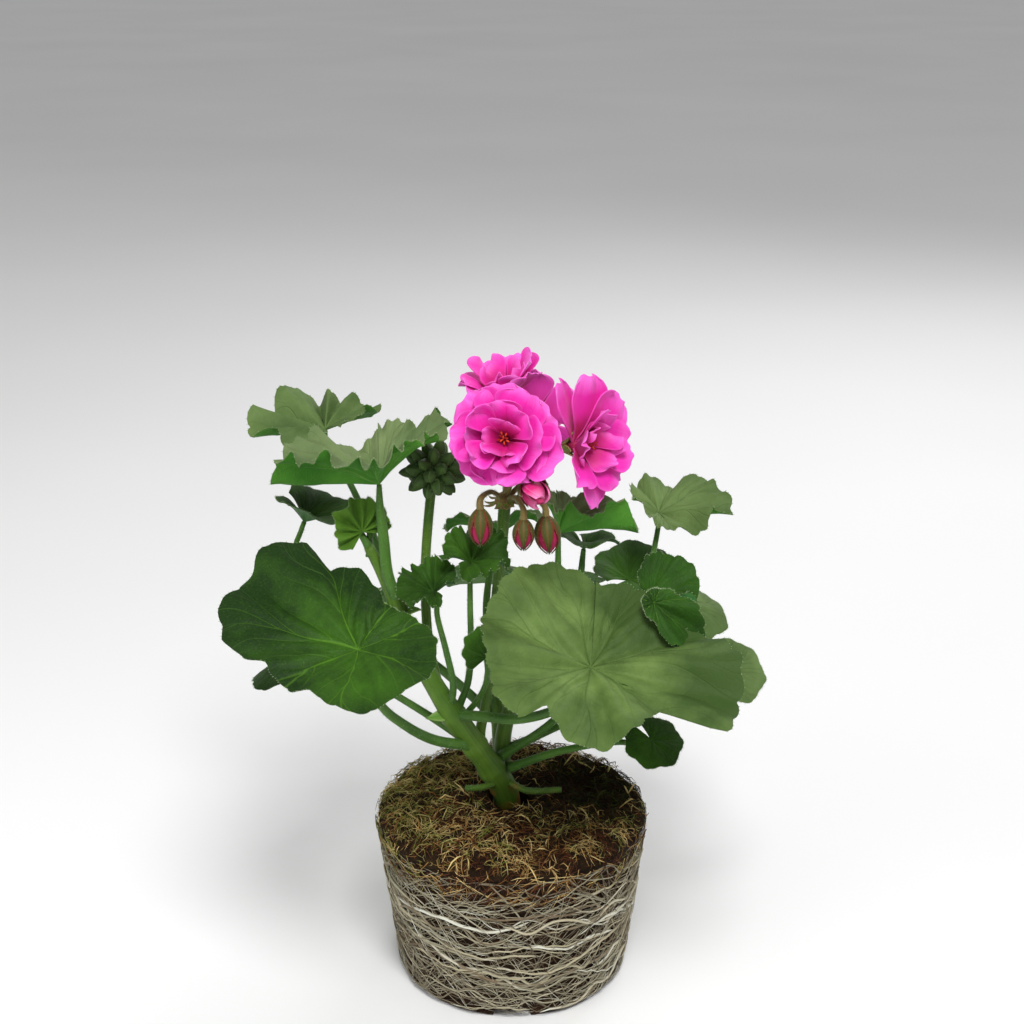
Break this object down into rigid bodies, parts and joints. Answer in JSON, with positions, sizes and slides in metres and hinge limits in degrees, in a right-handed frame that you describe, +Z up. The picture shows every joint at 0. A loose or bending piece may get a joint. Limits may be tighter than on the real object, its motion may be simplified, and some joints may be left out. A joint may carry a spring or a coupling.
{
  "type": "zonal geranium plant with bare root ball",
  "caption": "Zonal geranium in bloom: a bare root ball wound with pale roots, a mossy top, branching stems, scalloped leaves and a pink double umbel.",
  "frame": {"origin": "centre of the root ball's flat base", "axes": "+Z up, -Y towards the side that the picture shows, +X to the right in that view"},
  "size_m": [0.1921, 0.1958, 0.242],
  "materials": {
    "peat": "matte, crumbly",
    "root": "matte",
    "moss": "matte, fibrous",
    "stem": "satin, downy",
    "leaf_dark": "satin, downy",
    "leaf_mid": "satin, downy",
    "leaf_grey": "matte, downy",
    "leaf_bright": "satin, downy",
    "shoot_leaf": "satin, downy",
    "petal": "soft sheen",
    "petal_bud": "soft sheen",
    "stamen": "matte",
    "closed_bud": "matte, downy",
    "green_bud": "matte, downy"
  },
  "bodies": {
    "root": {"root_ball": "peat", "roots": "root", "moss_cap": "moss", "main_stem": "stem", "shoot_tip": "shoot_leaf", "flower_stalk": "stem", "young_umbel": "green_bud", "bud_opening": "petal_bud", "bud_left": "closed_bud", "bud_middle": "closed_bud", "bud_right": "closed_bud", "floret_front": "petal", "stamens_front": "stamen", "floret_top": "petal", "floret_right": "petal", "stamens_right": "stamen", "floret_back": "petal", "leaf_left_large": "leaf_dark", "leaf_right_large": "leaf_mid", "leaf_crimped": "leaf_bright", "leaf_top_left": "leaf_grey", "leaf_under_crimped": "leaf_dark", "leaf_top_right": "leaf_grey", "leaf_funnel": "leaf_bright", "leaf_funnel_small": "leaf_dark", "leaf_cup": "leaf_bright", "leaf_right_lower": "leaf_bright", "leaf_right_folded": "leaf_grey", "leaf_right_light": "leaf_grey", "leaf_low_right": "leaf_dark", "leaf_behind_right": "leaf_dark", "leaf_crumpled_left": "leaf_dark", "leaf_crumpled_middle": "leaf_dark", "leaf_fan": "leaf_dark", "leaf_back_left": "leaf_mid", "leaf_back": "leaf_mid", "leaf_back_right": "leaf_dark", "leaf_left_side": "leaf_dark", "leaf_back_high": "leaf_grey"}
  },
  "joints": []
}
